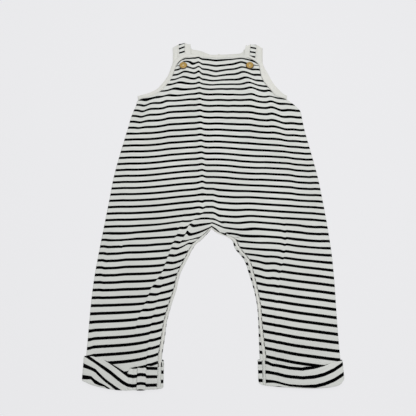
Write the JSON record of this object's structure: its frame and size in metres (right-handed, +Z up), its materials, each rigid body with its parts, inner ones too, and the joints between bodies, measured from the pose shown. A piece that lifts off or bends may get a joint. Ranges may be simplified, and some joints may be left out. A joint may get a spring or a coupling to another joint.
{
  "type": "romper",
  "caption": "Sleeveless striped jersey romper with buttoned shoulder straps, wide low-crotch legs and turned-up cuffs, laid flat.",
  "frame": {"origin": "middle of the garment's outline on the surface that it lies on", "axes": "+X to the viewer's right across the garment, +Y from the ankles to the neckline, +Z up out of the surface"},
  "size_m": [0.3832, 0.6126, 0.0093],
  "materials": {
    "striped_jersey": "matt cotton jersey, off-white with thin black stripes",
    "cream_binding": "matt cotton rib, cream",
    "button_wood": "golden brown wood, satin lacquer"
  },
  "bodies": {
    "root": {"back_panel": "striped_jersey", "front_panel": "striped_jersey", "strap_left": "striped_jersey", "strap_right": "striped_jersey", "cuff_left": "striped_jersey", "cuff_right": "striped_jersey", "front_binding": "cream_binding", "inseam_band": "cream_binding", "armhole_binding_left": "cream_binding", "armhole_binding_right": "cream_binding", "neck_binding": "cream_binding", "button_left": "button_wood", "button_right": "button_wood"}
  },
  "joints": []
}
